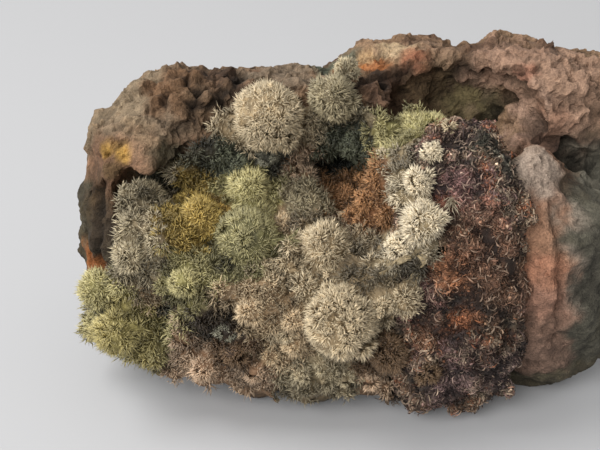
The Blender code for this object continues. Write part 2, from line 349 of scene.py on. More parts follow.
rockPatches = {
    # name: pixel across, pixel down, reach mm, colour, share
    "leftRimTan": (120, 110, 9, "#8f7a60", 0.9),
    "leftRimSalmon": (105, 175, 6, "#8d6850", 0.8),
    "leftRimTop": (150, 85, 8, "#8b7a63", 0.8),
    "leftRimShade": (170, 115, 3.5, "#6f5d4b", 0.7),
    "leftEdgeRind": (80, 230, 6, "#463c29", 0.9),
    "leftEdgeShade": (96, 205, 4, "#3d301e", 0.9),
    "leftDarkVein": (100, 230, 3.4, "#3c3125", 0.95),
    "leftLowRust": (92, 266, 2.8, "#93592e", 0.9),
    "yellowStainA": (105, 150, 1.4, "#bf9449", 0.9),
    "yellowStainB": (121, 153, 1.5, "#b88f48", 0.9),
    "yellowUnder": (112, 168, 1.6, "#5e4b31", 0.8),
    "rimLobe": (164, 158, 2.6, "#474131", 0.9),
    "crestPatch": (205, 82, 6.0, "#745944", 0.95),
    "crestPatchLeft": (178, 88, 4, "#785b42", 0.9),
    "crestPatchLow": (215, 100, 4, "#6d5843", 0.8),
    "crestPatchTip": (232, 76, 3, "#3f3025", 0.95),
    "crestMiddle": (285, 78, 6, "#857460", 0.8),
    "ledgeTop": (430, 50, 5, "#8a705a", 0.8),
    "ledgeGreyA": (328, 68, 2.2, "#5c6050", 0.95),
    "ledgeGreyB": (350, 58, 2.2, "#6a6a58", 0.9),
    "ledgeCream": (392, 52, 3.4, "#bda381", 0.95),
    "ledgeCreamLeft": (365, 60, 2.2, "#b6966f", 0.9),
    "ledgeOrange": (350, 70, 2.0, "#9c6436", 0.9),
    "ledgeOrangeRight": (378, 66, 2.0, "#a5683c", 0.9),
    "ledgeRed": (412, 60, 2.2, "#96563b", 0.7),
    "recessOlive": (465, 100, 6, "#6a5f41", 0.9),
    # painted shade: the dark line under the ledge's overhanging lip
    "underLedgeShade": (425, 85, 4, "#54432f", 0.9),
    "creviceShadeA": (362, 84, 2.0, "#33241a", 0.95),
    "creviceShadeB": (382, 80, 2.2, "#35271c", 0.95),
    "creviceShadeC": (402, 76, 2.0, "#3c2c20", 0.9),
    "creviceShadeD": (470, 72, 3.0, "#3d2f23", 0.9),
    "creviceShadeE": (505, 80, 2.5, "#42332a", 0.8),
    "backPink": (540, 90, 10, "#ab8c78", 0.9),
    "backPinkTop": (520, 55, 7, "#957661", 0.8),
    "backPinkRight": (585, 80, 8, "#a3836c", 0.8),
    "redSpot": (522, 75, 1.8, "#86503c", 0.55),
    "crackDark": (545, 140, 4.5, "#8a6955", 0.95),
    "crackDarkRight": (570, 155, 3.5, "#5e4638", 0.9),
    "oliveCrack": (495, 108, 2.5, "#4b4330", 0.8),
    "sideGreyTop": (592, 180, 5, "#6b675a", 0.9),
    "sideGrey": (592, 230, 7, "#5a564a", 0.95),
    "sideGreyMiddle": (587, 280, 7, "#4f4b41", 0.95),
    "sideGreyLow": (580, 330, 6, "#4a473d", 0.95),
    "sidePaleA": (558, 215, 3.4, "#948677", 0.8),
    "sidePaleB": (558, 260, 3.4, "#8d7f71", 0.8),
    "sidePaleC": (556, 305, 3.2, "#7f7366", 0.7),
    "sideOrangeTop": (539, 200, 3.8, "#96745f", 0.95),
    "sideOrangeA": (540, 228, 3.8, "#9d775e", 0.95),
    "sideOrangeB": (540, 256, 3.8, "#99735a", 0.95),
    "sideOrangeC": (540, 284, 3.8, "#a4755c", 0.95),
    "sideOrangeD": (540, 312, 3.8, "#95705d", 0.95),
    "sideOrangeE": (539, 340, 3.8, "#886b5a", 0.95),
    "sideOrangeF": (537, 364, 3.8, "#775f51", 0.95),
    "sideWhite": (538, 172, 3.8, "#a69484", 0.9),
}

rockCracks = {
    # name: pixels along it, width mm, depth mm, how much painted shade darkens its bottom
    "underLedgeShade": ([(322, 94), (345, 87), (365, 85), (385, 82), (404, 77)], 1.4, 2.4, 0.85),
    "recessTop": ([(455, 68), (480, 72), (505, 80), (525, 88)], 1.3, 1.2, 0.6),
    "backCrack": ([(528, 122), (545, 138), (562, 152), (584, 166)], 2.2, 2.6, 0.75),
    "oliveCrack": ([(482, 124), (494, 112), (510, 96)], 1.2, 1.8, 0.6),
    "leftVein": ([(101, 190), (98, 225), (101, 262)], 1.3, 1.3, 0.6),
    "leftLineA": ([(80, 195), (79, 230), (83, 268)], 0.7, 0.8, 0.5),
    "leftLineB": ([(89, 192), (87, 228), (91, 262)], 0.6, 0.7, 0.5),
    "rightStep": ([(556, 205), (560, 250), (560, 300), (556, 345)], 1.0, 0.8, 0.3),
}

bareTrees = []
for cadName in ("host_rock", "crystal_crust", "knob_druse"):
    bare = fineCopy(cadName, "bare", rockLook["bareSquare"], 0)
    bareTrees.append(treeOf(bare.data))
    bpy.data.objects.remove(bare, do_unlink=True)
rockTree, crustTree, druseTree = bareTrees


def farFrom(tree, places, most):
    # how far each place is from a surface, this much at most
    found = [tree.find_nearest(Vector(place), most)[3] for place in places]
    return np.array([most if far is None else far for far in found])


def facesOut(spots, normals, clear):
    # whether nothing of the rock lies straight in front of each place
    keep = [rockTree.ray_cast(Vector(s + n * 0.05 * mm), Vector(n), clear * mm)[0] is None
            for s, n in zip(spots, normals)]
    return np.array(keep)


def cracked(places, cracks, tree):
    # how deep each place is sunk, and its shade: a smooth step of 1 - distance / width from a line of pixels
    depth, shade = np.zeros(len(places)), np.ones(len(places))
    for pixels, width, deep, dark in cracks.values():
        line = [np.array(spot) for spot in (seenAt(tree, u, v) for u, v in pixels) if spot is not None]
        for start, end in zip(line, line[1:]):
            along = end - start
            t = np.clip((places - start) @ along / (along @ along), 0, 1)
            far = np.linalg.norm(places - start - t[:, None] * along, axis=1)
            share = smoothStep(0, 0.8, 1 - far / (width * mm))
            depth = np.maximum(depth, share * deep)
            shade = np.minimum(shade, 1 - share * dark)
    return depth, shade


def outsideShare(places):
    # 1 on the cobble's old outside, a rounded box: each distance over its half size, to the power 2.7, summed
    outer = np.abs((places / mm - rockLook["boxMiddle"]) / rockLook["boxHalf"]) ** 2.7
    share = smoothStep(0.72, 0.95, outer.sum(axis=1) + 0.12 * fractalNoise(places, 6, 3, 31))
    low, full = rockLook["freshTop"]
    high = smoothStep(low * mm, full * mm, places[:, 2] + 2 * mm * fractalNoise(places, 4, 3, 35))
    return share * (1 - high)


rock = fineCopy("host_rock", "weatheredRock", rockLook["square"], rockLook["smoothing"])
points, normals = pointsOf(rock.data), normalsOf(rock.data)
aboveBase = smoothStep(0.2 * mm, rockLook["flatBelow"] * mm, points[:, 2])
lumps = fractalNoise(points, rockLook["lumpSize"], 3, 3) * rockLook["lumpHeight"]
# broken rock: plates, each at a height of its own, and smaller chips on them, with edges bent by noise
bent = shaken(points, 2.0, 3, 13, rockLook["bend"])
plates = (nearestCell(bent, rockLook["plateSize"], 9)[1] - 0.5) * rockLook["plateHeight"]
chips = (nearestCell(bent, rockLook["chipSize"], 19)[1] - 0.5) * rockLook["chipHeight"]
outside = outsideShare(points)
fresh = 1 - rockLook["worn"] * outside
crest = np.array(seenAt(rockTree, *rockLook["crumbs"][:2]))
crumbly = smoothStep(1.15, 0.6, np.linalg.norm(points - crest, axis=1) / (rockLook["crumbs"][2] * mm))
crumbs = (0.6 - cellDistance(bent, rockLook["crumbSize"], 29)) * rockLook["crumbHeight"] * crumbly
fine = -np.abs(fractalNoise(points, rockLook["fineSize"], 2, 37)) * rockLook["fineHeight"]
sunk, crackShade = cracked(bent, rockCracks, rockTree)
pits = smoothStep(0.32, 0.12, cellDistance(bent, rockLook["pitSize"], 43)) * fresh
sunk, crackShade = sunk + pits * rockLook["pitDepth"], crackShade * (1 - 0.45 * pits)
# the rise in mm: lumps, plates, chips, crumbs and grain, less the cracks and pits
rise = (lumps + (plates + chips) * fresh + crumbs + fine - sunk) * aboveBase * mm
# near the crust and the druse the rock is kept down, so that it never comes out through them
covering = np.minimum(farFrom(crustTree, points, 2 * mm), farFrom(druseTree, points, 2 * mm))
rise = np.minimum(rise, (smoothStep(0.9, 1.9, covering / mm) * 3 - 0.1) * mm)
moved = points + normals * rise[:, None]
moved[:, 2] = np.maximum(moved[:, 2], 0)
setPoints(rock.data, moved)

# colour: two browns mottled by noise, the rind's on the old outside, then the patches, and painted shade that
# darkens the hollows, cracks, pits and the gaps between the crumbs
mottle = smoothStep(-0.6, 0.6, fractalNoise(points, 5, 4, 41))[:, None]
brokenColour = mixed(linear(rockLook["brokenDark"]), linear(rockLook["broken"]), mottle)
rindColour = mixed(linear(rockLook["rindDark"]), linear(rockLook["rind"]), mottle)
ground = mixed(brokenColour, rindColour, outside[:, None])
colours = painted(points, ground, rockPatches, rockTree, 0.4, 51)
hollowShade = (1 - 0.35 * smoothStep(0.1, 0.9, -(rise / mm + sunk) * 2)) * crackShade
hollowShade *= 1 - crumbly * 0.75 * smoothStep(0.45, 0.75, cellDistance(bent, rockLook["crumbSize"], 29))
setTint(rock.data, colours * hollowShade[:, None])
print("rock", len(rock.data.polygons) * 2, "triangles")

# Volcanic rock: matt, granular, a few pale and dark grains of half a millimetre in a fine ground.
weatheredRhyolite, shader = newMaterial("weatheredRhyolite", 0.88, 1.5, 0.25)
place, tint = placeAndTint(weatheredRhyolite)
blotches = noiseAt(weatheredRhyolite, place, rockLook["blotchSize"], 6.0, 0.7)
grains = node(weatheredRhyolite, "ShaderNodeTexVoronoi", {"Scale": 1 / (rockLook["grainSize"] * mm)},
              [(place, "Vector")]).outputs["Color"]
grit = noiseAt(weatheredRhyolite, place, rockLook["gritSize"], 3.0, 0.6)
shade = product(weatheredRhyolite, ranged(weatheredRhyolite, blotches, 0.3, 0.7, 0.62, 1.35),
                ranged(weatheredRhyolite, grains, 0.0, 1.0, 0.8, 1.2))
shade = product(weatheredRhyolite, shade, ranged(weatheredRhyolite, grit, 0.35, 0.65, 0.8, 1.2))
height = node(weatheredRhyolite, "ShaderNodeMath", {"operation": "MULTIPLY_ADD", 1: 0.5},
              [(grit, 0), (blotches, 2)]).outputs[0]
feed(weatheredRhyolite, shader, {"Base Color": scaled(weatheredRhyolite, tint, shade),
                                 "Normal": bumped(weatheredRhyolite, height, 1.0, rockLook["relief"])})
asPiece(rock, weatheredRhyolite)
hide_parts("host_rock")


# needle balls, placed by the same rule as the solids' balls

# needle colours: tip, root
needleColours = {
    "white": ("#dccdb0", "#a59372"),
    "cream": ("#d2c09f", "#9f8a69"),
    "creamGrey": ("#bfb192", "#8b7c60"),
    "greyCream": ("#aea182", "#7c6f55"),
    "creamBlush": ("#d4bd99", "#9b8161"),
    "paleGreen": ("#c6bb88", "#8d8553"),
    "yellow": ("#bea45d", "#856e33"),
    "oliveCream": ("#bcae76", "#857a48"),
    "yellowOrange": ("#b3934d", "#77602f"),
    "seaGreen": ("#aba276", "#706b46"),
    "greyGreen": ("#73755f", "#3a3c2e"),
    "grey": ("#8f8b78", "#4d4b3f"),
    "pinkCream": ("#cbb093", "#8f6f53"),
    "orange": ("#bb8c60", "#7a5334"),
    "brownPink": ("#82694f", "#4b3726"),
}

# place across, place up, radius, needle colour
balls = {
    "foreCream": (-10, 30.8, 4.6, "cream"), "creamGreyTop": (-2.5, 32, 3.2, "greyCream"),
    "smallTop": (-0.5, 33.5, 1.8, "creamGrey"), "paleGreenRight": (6, 27.5, 4.0, "paleGreen"),
    "backA": (-14.5, 24.5, 2.0, "greyGreen"), "backB": (-11, 25.5, 1.8, "grey"),
    "backC": (1, 28, 2.0, "greyGreen"), "backD": (3, 25.5, 2.0, "greyGreen"),
    "smallPink": (-8.5, 23.5, 1.2, "pinkCream"),
    "yellowTop": (-18.5, 19.8, 2.0, "yellow"), "yellowLeft": (-19, 15.5, 3.2, "yellow"),
    "yellowOrange": (-16, 17, 1.8, "yellowOrange"), "yellowRight": (-13.8, 20.2, 3.2, "paleGreen"),
    "greenMiddle": (-11.5, 17.5, 2.5, "paleGreen"), "seaGreen": (-13.5, 12.8, 4.4, "seaGreen"),
    "creamFarLeft": (-27.5, 18.5, 2.0, "creamGrey"), "creamLeftA": (-25.5, 18, 2.5, "creamGrey"),
    "creamLeftB": (-25.5, 14, 2.5, "creamGrey"), "creamLeftC": (-23.5, 11.5, 2.5, "creamBlush"),
    "lowerLeftA": (-29.2, 10.6, 2.8, "paleGreen"), "lowerLeftB": (-26.5, 5, 3.3, "oliveCream"),
    "lowerLeftC": (-29, 5.6, 1.8, "paleGreen"),
    "smallYellow": (-19, 10.5, 2.0, "paleGreen"), "greyNest": (-20, 7, 2.5, "grey"),
    "middleCream": (-2.5, 13.3, 3.5, "cream"), "pinkCreamA": (-8, 16, 2.5, "creamBlush"),
    "pinkCreamB": (-6.5, 18.5, 1.8, "greyCream"), "starA": (-9, 11.5, 2.0, "cream"),
    "starB": (-11, 10.5, 1.5, "cream"), "creamOrangeA": (-11.5, 8, 2.2, "creamBlush"),
    "creamOrangeB": (-7.5, 7, 2.0, "creamBlush"), "smallStarA": (-2.5, 10, 1.2, "cream"),
    "smallStarB": (-5, 11.5, 1.2, "grey"),
    "orangeA": (-1, 19, 1.5, "orange"), "orangeB": (2, 20.5, 1.5, "orange"),
    "orangeC": (0.5, 17, 1.5, "orange"),
    "bigCream": (-1, 6.8, 4.8, "cream"), "bigCreamSide": (3, 8.5, 1.8, "cream"),
    "lowPinkA": (4.5, 3, 2.8, "brownPink"), "lowPinkB": (8, 1, 1.8, "brownPink"),
    "lowPinkC": (2, 0.2, 1.7, "pinkCream"),
    "lowA": (-19, 4.2, 2.0, "creamGrey"), "lowB": (-17, 1.5, 2.1, "pinkCream"),
    "lowC": (-14, 3, 1.9, "brownPink"), "lowD": (-12, 0.8, 1.7, "pinkCream"),
    "lowE": (-7.5, 3.5, 2.0, "creamBlush"), "lowF": (-8.5, 6, 1.6, "cream"),
    "lowG": (-6.5, 0.2, 1.7, "creamGrey"), "lowH": (-1.5, 0, 1.4, "creamGrey"),
    "lowI": (-4, 1.2, 1.5, "creamGrey"), "lowJ": (-10, 2.5, 1.5, "creamBlush"),
    "lowK": (-22, 3.5, 1.6, "paleGreen"), "lowL": (-14.5, 5.5, 1.5, "grey"), "lowM": (-23, 6, 1.6, "creamGrey"),
    "fringeA": (7.0, 16.6, 3.0, "white"), "fringeB": (5.6, 13.8, 2.0, "white"),
    "fringeC": (7.4, 20.8, 2.0, "white"), "fringeD": (8.5, 24, 1.6, "white"),
    "fringeE": (3, 19.5, 1.6, "orange"), "fringeF": (10, 26.5, 1.2, "cream"),
}

# balls that stand a little elsewhere on the solid: their place across and up there, and the radius
onSolid = {"fringeA": (4.5, 17, 3.0), "fringeB": (4, 14.5, 2.0), "middleCream": (-3.6, 14.8, 3.4)}

ballLook = {
    "proud": 0.5, "offRock": 1.15,  # how far a middle stands off the rock: share of the radius, and mm
    "moved": (0.023, 0.979),  # the solids' faces lie this far from where the places were taken
    "sprayArea": 2.5, "perSpray": 66, "jitter": 0.4, "fan": 1.35,  # mm2 of a ball for a spray; mm of shake
    "longest": 1.55, "share": 0.55,  # needle length: the shorter of this in mm and this share of the radius
    "bare": 0.6,  # how much of a needle stands free of the core
    "cleared": 1.16,  # the ground is drawn in to the core within this share of the radius
    "swell": 0.18, "deepest": 0.35,  # how far the balls are from round: share of the radius, and mm at most
    "needleWidth": 0.13, "bend": 0.1,
    "coarse": {"white": 1.45},  # colours with thicker needles
    # random factors from the first to the second, for each needle or for a whole spray
    "bright": (0.62, 1.28), "sprayBright": (0.82, 1.14),
    "lengths": (0.7, 1.12), "sprayLengths": (0.8, 1.15), "depths": (0.85, 1.15), "widths": (0.7, 1.3),
}

needleLook = {
    "widestAt": 0.6,  # share of the length from the root
    "floorGap": 1.8, "leftGap": 1.8,  # no needle comes nearer to the floor, and on the left this much more
    "hangs": (-12, -19),  # where the crust's edge starts to hang clear of the floor, and where it hangs whole
}


def onFace(across, up, radius):
    # the same rule as for the solids: straight at the face, then off it along its normal
    left, back = ballLook["moved"]
    start = Vector((across + left, up * math.sin(tilt) + back, up * math.cos(tilt))) * mm - inward * 0.1
    place, normal, _, _ = rockTree.ray_cast(start, inward)
    return None if place is None else place + normal * (radius * ballLook["proud"] + ballLook["offRock"]) * mm


def hangingShare(across):
    low, full = needleLook["hangs"]
    return smoothStep(low * mm, full * mm, across)


def needlePiece(name, roots, ways, lengths, widths, rootColours, tipColours, bend, material):
    # each needle is a slim double pyramid: its root, a ring of three points where it is widest, and its tip; a
    # random bend moves the tip one way and the ring a little the other; the colour runs from root to tip
    count = len(roots)
    sideA, sideB = acrossOf(ways)
    turn = chance.uniform(0, 2 * np.pi, count)
    lean = turned(sideA, sideB, turn) * (bend * lengths)[:, None]
    middle = roots + ways * (needleLook["widestAt"] * lengths)[:, None] - lean * 0.3
    shapes = [roots]
    for k in range(3):
        ring = turned(sideA, sideB, turn + 2 * np.pi * k / 3)
        shapes.append(middle + ring * (widths / 2)[:, None])
    shapes.append(roots + ways * lengths[:, None] + lean)
    shapes = np.stack(shapes, axis=1)
    lowest = (needleLook["floorGap"] * mm
              + hangingShare(shapes[:, :, 0].mean(axis=1)) * needleLook["leftGap"] * mm)
    clear = shapes[:, :, 2].min(axis=1) > lowest
    shapes, rootColours, tipColours = shapes[clear], rootColours[clear], tipColours[clear]
    pattern = np.array([(0, 2, 1), (0, 3, 2), (0, 1, 3), (1, 2, 4), (2, 3, 4), (3, 1, 4)])
    blend = np.array([0, 0.75, 0.75, 0.75, 1.0])[None, :, None]
    colours = mixed(rootColours[:, None, :], tipColours[:, None, :], blend)
    repeated(name, shapes, pattern, colours, material)


def repeated(name, shapes, pattern, colours, material):
    # one mesh of many small forms of the same pattern of triangles; shapes and colours are (form, point, 3)
    count, each = shapes.shape[:2]
    corners = (np.arange(count)[:, None, None] * each + pattern).reshape(-1, 3)
    mesh = bpy.data.meshes.new(name)
    mesh.vertices.add(count * each)
    mesh.vertices.foreach_set("co", shapes.astype(np.float32).ravel())
    mesh.loops.add(corners.size)
    mesh.loops.foreach_set("vertex_index", corners.astype(np.int32).ravel())
    mesh.polygons.add(len(corners))
    mesh.polygons.foreach_set("loop_start", np.arange(0, corners.size, 3, dtype=np.int32))
    mesh.update(calc_edges=True)
    setTint(mesh, colours.reshape(-1, 3))
    made = bpy.data.objects.new(name, mesh)
    bpy.context.scene.collection.objects.link(made)
    print(name, count, "forms,", len(corners), "triangles")
    asPiece(made, material)


def ballDirections(count, jitter):
    # directions spread over a ball on a spiral of equal areas, each shaken a little
    k = np.arange(count) + 0.5
    height = 1 - 2 * k / count
    around = np.pi * (1 + 5 ** 0.5) * k
    flat = np.sqrt(1 - height ** 2)
    ways = np.stack([flat * np.cos(around), flat * np.sin(around), height], axis=1)
    return unit(ways + chance.normal(0, jitter, (count, 3)))


# Aragonite: thin glassy needles, silky in a bundle, paler and clearer at the tips.
aragoniteNeedles, shader = newMaterial("aragoniteNeedles", 0.36, 1.6, 0.35)
place, tint = placeAndTint(aragoniteNeedles)
cloud = noiseAt(aragoniteNeedles, place, 1.1, 3.0)
colour = scaled(aragoniteNeedles, tint, ranged(aragoniteNeedles, cloud, 0.3, 0.7, 0.82, 1.15))
feed(aragoniteNeedles, shader, {"Base Color": colour,
                                "Roughness": ranged(aragoniteNeedles, cloud, 0.3, 0.7, 0.28, 0.5)})

ballNames = [name for name in balls if onFace(*balls[name][:3]) is not None]
print(len(ballNames), "balls of", len(balls), "stand on the rock")
ballMiddles = np.array([onFace(*balls[name][:3]) for name in ballNames])
ballRadii = np.array([balls[name][2] for name in ballNames]) * mm
ballNeedles = np.minimum(ballLook["longest"] * mm, ballLook["share"] * ballRadii)
ballCores = ballRadii - ballLook["bare"] * ballNeedles
ballTips = np.array([linear(needleColours[balls[name][3]][0]) for name in ballNames])
ballRoots = np.array([linear(needleColours[balls[name][3]][1]) for name in ballNames])


# crust between the needles

crustLook = {
    "square": 0.36, "smoothing": 4, "grainHeight": 0.22, "grainSize": 0.9, "darken": 0.3,
    "lumpSize": 4.2, "lumpHeight": 2.2, "deepest": 0.9,
    "leftLift": 2.2, "liftBelow": 7,  # the edge that hangs clear of the floor: its rise, and up to where
    "moveFrom": 2.2, "moveAll": 0.9,  # shares of a radius within which the ground moves with a moved ball
    "facing": 1.2,  # skin with rock nearer in front of it is the inner side, and isn't moved
    "floorGap": 0.3, "farColour": "#6d5a43", "edge": 0.35,
    "tipShade": 0.8,  # the tufts' tips against the balls' tips
    "tipPatches": 0.97,  # the patches' share on the tufts' tips
}

# ground of the crust: pixel across, pixel down, reach mm, colour, share
crustPatches = {
    # painted shade: the recess, the left gap and hollow, the brown hollow and the dark gaps stand for the shade
    # that falls in the crust's hollows and between its balls
    "recess": (340, 152, 7.5, "#20221a", 0.97),
    "recessRight": (375, 165, 4, "#282a1f", 0.95),
    "recessLeft": (300, 168, 4.4, "#33342a", 0.95),
    "leftGap": (192, 145, 3, "#3a3528", 0.9),
    "leftHollow": (150, 175, 5.5, "#3b3d30", 0.95),
    "brownHollow": (220, 315, 4.8, "#302317", 0.95),
    "darkGap": (172, 280, 2.2, "#2f2a1f", 0.9),
    "darkGapMiddle": (222, 277, 2.6, "#2d2b20", 0.9),
    "darkGapRight": (352, 269, 2, "#33291d", 0.9),
    "darkGapLow": (387, 345, 2.4, "#302619", 0.9),
    "rust": (364, 208, 5.2, "#a37a55", 0.92),
    "rustLow": (352, 238, 2.8, "#654732", 0.8),
    "nest": (187, 312, 4.4, "#303027", 0.9),
}

crust = fineCopy("crystal_crust", "crustGround", crustLook["square"], 1)
points = pointsOf(crust.data)
for name, (across, up, radius) in onSolid.items():
    # the ground moves with such a ball
    middle = np.array(onFace(across, up, radius))
    shift = np.array(onFace(*balls[name][:3])) - middle
    far = np.linalg.norm(points - middle, axis=1)
    points += smoothStep(crustLook["moveFrom"], crustLook["moveAll"], far / (radius * mm))[:, None] * shift
# the lower left edge is raised, most at the bottom
hanging = hangingShare(points[:, 0]) * smoothStep(crustLook["liftBelow"] * mm, 0, points[:, 2])
points[:, 2] += crustLook["leftLift"] * mm * hanging
for middle, radius, core in zip(ballMiddles, ballRadii, ballCores):
    # inside a ball's reach every point is drawn in to the core, so that the needles stand free
    away = points - middle
    far = np.linalg.norm(away, axis=1)
    drawn = np.where(far < ballLook["cleared"] * radius, np.minimum(far, core), far)
    points = middle + away * (drawn / np.maximum(far, 1e-9))[:, None]
setPoints(crust.data, points)
softened(crust, crustLook["smoothing"])
points, normals = pointsOf(crust.data), normalsOf(crust.data)


def nearestBall(places):
    # the ball whose skin is nearest, and how far that skin is
    gaps = np.linalg.norm(places[:, None, :] - ballMiddles[None], axis=2) - ballRadii[None]
    return gaps.argmin(axis=1), gaps.min(axis=1)


grain = (0.5 - cellDistance(points, crustLook["grainSize"], 61)) * crustLook["grainHeight"]
between = smoothStep(-0.3 * mm, 1.2 * mm, nearestBall(points)[1])
# domes with valleys between them: 0.45 less the distance to the nearest dot of a lattice
crustRise = np.maximum(0.45 - cellDistance(points, crustLook["lumpSize"], 65), -0.5)
swelling = np.maximum(grain + crustRise * crustLook["lumpHeight"] * between, -crustLook["deepest"])
swelling = swelling * facesOut(points, normals, crustLook["facing"])
points = points + normals * (swelling * mm)[:, None]
points[:, 2] = np.maximum(points[:, 2], crustLook["floorGap"] * mm)
setPoints(crust.data, points)


def crustColours(places):
    # the roots' colour of the nearest ball, brown far from all of them, and the patches over it
    which, gap = nearestBall(places)
    share = smoothStep(0.5 * mm, 4 * mm, gap)[:, None] * 0.5
    ground = mixed(ballRoots[which], linear(crustLook["farColour"]), share)
    return painted(places, ground, crustPatches, rockTree, crustLook["edge"], 71)


def tuftColours(places):
    # the tips' colour of the nearest ball, a little darker, and the patches over it, a little weaker
    which = nearestBall(places)[0]
    weaker = {name: (*patch, share * crustLook["tipPatches"]) for name, (*patch, share) in crustPatches.items()}
    return painted(places, ballTips[which] * crustLook["tipShade"], weaker, rockTree, crustLook["edge"], 71)


groundColours = crustColours(points)
shadeOfGrain = (0.75 + 0.5 * smoothStep(-0.1, 0.1, grain))[:, None]
# painted shade: the ground grows darker towards the floor, as a contact shadow
contactShade = (0.4 + 0.6 * smoothStep(0.8 * mm, 3 * mm, points[:, 2]))[:, None]
setTint(crust.data, groundColours * shadeOfGrain * contactShade * (1 - crustLook["darken"]))
print("crust ground", len(crust.data.polygons) * 2, "triangles")

# Massive aragonite between the needles: sugary, duller than the needles, brown away from the balls, with painted
# shade in its hollows and gaps and near the floor.
aragoniteGround, shader = newMaterial("aragoniteGround", 0.7, 1.6, 0.25)
place, tint = placeAndTint(aragoniteGround)
sugar = node(aragoniteGround, "ShaderNodeTexVoronoi", {"Scale": 1 / (0.4 * mm)}, [(place, "Vector")])
cloud = noiseAt(aragoniteGround, place, 0.9, 4.0)
colour = scaled(aragoniteGround, tint, ranged(aragoniteGround, cloud, 0.3, 0.7, 0.6, 1.3))
feed(aragoniteGround, shader, {"Base Color": colour,
                               "Normal": bumped(aragoniteGround, sugar.outputs["Distance"], 0.8, 0.2)})
asPiece(crust, aragoniteGround)
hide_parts("crystal_crust")


# the balls' needles, in three pieces

def growBalls(name, chosen):
    # a ball's skin is shared out among sprays, whose needles start at one point under the skin and fan out
    parts = []
    for k in chosen:
        radius, needle = ballRadii[k], ballNeedles[k]
        area = 4 * np.pi * (radius / mm) ** 2
        sprays = ballDirections(max(5, int(area / ballLook["sprayArea"])), ballLook["jitter"] * mm / radius)
        sprays = sprays[sprays @ np.array(-inward) > -0.45]  # none on the side that grows on the rock
        depth = needle * chance.uniform(*ballLook["depths"], len(sprays))
        swell = np.maximum(0.97 + ballLook["swell"] * smoothNoise(sprays * 1.8 + 7.3 * k, 201),
                           1 - ballLook["deepest"] * mm / radius)
        starts = ballMiddles[k] + sprays * (radius * swell - depth)[:, None]
        owner = np.repeat(np.arange(len(sprays)), ballLook["perSpray"])
        ways = fanned(sprays[owner], ballLook["fan"])
        bright = (chance.uniform(*ballLook["bright"], (len(owner), 1))
                  * chance.uniform(*ballLook["sprayBright"], len(sprays))[owner][:, None])
        roots = starts[owner] + chance.normal(0, 0.12 * mm, (len(owner), 3))
        lengths = (needle * chance.uniform(*ballLook["sprayLengths"], len(sprays))[owner]
                   * chance.uniform(*ballLook["lengths"], len(owner)))
        thick = np.full(len(owner), ballLook["coarse"].get(balls[ballNames[k]][3], 1))
        parts.append((roots, ways, lengths, ballRoots[k] * bright, ballTips[k] * bright, thick))
    roots, ways, lengths, rootColours, tipColours, thick = (np.concatenate(part) for part in zip(*parts))
    widths = ballLook["needleWidth"] * mm * chance.uniform(*ballLook["widths"], len(roots)) * thick
    needlePiece(name, roots, ways, lengths, widths, rootColours, tipColours, ballLook["bend"], aragoniteNeedles)


# three pieces from left to right, with about as much skin each
order = np.argsort(ballMiddles[:, 0])
skin = ballRadii[order] ** 2
third = np.searchsorted(np.cumsum(skin), skin.sum() * np.array([1, 2]) / 3)
growBalls("ballNeedlesLeft", order[:third[0]])
growBalls("ballNeedlesMiddle", order[third[0]:third[1]])
growBalls("ballNeedlesRight", order[third[1]:])


# tufts between the balls

scatterLook = {"tries": 6, "facing": 0.8}  # random places for each square of the spacing, and as in crustLook


def scattered(mesh, spacing, seed):
    # places on a mesh's outer skin, at random by area, of those that fall in one small cube only the first, with
    # the face's normal and the number of a mesh point beside each
    dice = np.random.default_rng(seed)
    mesh.calc_loop_triangles()
    tri = np.empty(len(mesh.loop_triangles) * 3, np.int32)
    mesh.loop_triangles.foreach_get("vertices", tri)
    tri = tri.reshape(-1, 3)
    co = pointsOf(mesh)
    a, b, c = co[tri[:, 0]], co[tri[:, 1]], co[tri[:, 2]]
    face = np.cross(b - a, c - a)
    area = np.linalg.norm(face, axis=1)
    count = int(area.sum() / 2 / (spacing * mm) ** 2 * scatterLook["tries"])
    pick = dice.choice(len(tri), count, p=area / area.sum())
    s, t = dice.uniform(0, 1, (2, count))
    s, t = np.where(s + t > 1, 1 - s, s), np.where(s + t > 1, 1 - t, t)
    spots = a[pick] + (b - a)[pick] * s[:, None] + (c - a)[pick] * t[:, None]
    outs = unit(face[pick])
    front = facesOut(spots, outs, scatterLook["facing"])
    spots, outs, beside = spots[front], outs[front], tri[pick][front, 0]
    cells = np.floor(spots / (spacing * mm)).astype(np.int64)
    _, first = np.unique(cells, axis=0, return_index=True)
    first.sort()
    return spots[first], outs[first], beside[first]


tuftLook = {
    "cluster": 2.3, "spacing": 1.1, "perTuft": 30, "spread": 1.6, "length": 1.3, "width": 0.13, "bend": 0.12,
    "intoBalls": 0.35,  # how far inside a ball's skin tufts still stand
    "floorGap": 1.6, "overhangs": 6,  # no tuft below the first height, none on overhangs below the second
    "astray": 0.5,  # a few tufts take a neighbour's colour
}


def growTufts(name, middles, normals, look, rootColours, tipColours, material):
    # needles that fan out from each middle
    count = len(middles) * look["perTuft"]
    owner = np.repeat(np.arange(len(middles)), look["perTuft"])
    way = fanned(normals[owner], look["spread"])
    scale = chance.uniform(0.6, 1.2, len(middles))[owner] * chance.uniform(0.7, 1.2, count)
    lengths = look["length"] * mm * scale
    roots = middles[owner] + chance.normal(0, 0.22 * mm, (count, 3)) - normals[owner] * 0.1 * mm
    bright = chance.uniform(0.7, 1.2, (count, 1)) * chance.uniform(0.8, 1.15, len(middles))[owner][:, None]
    widths = look["width"] * mm * chance.uniform(0.7, 1.3, count)
    needlePiece(name, roots, way, lengths, widths, rootColours[owner] * bright, tipColours[owner] * bright,
                look["bend"], material)


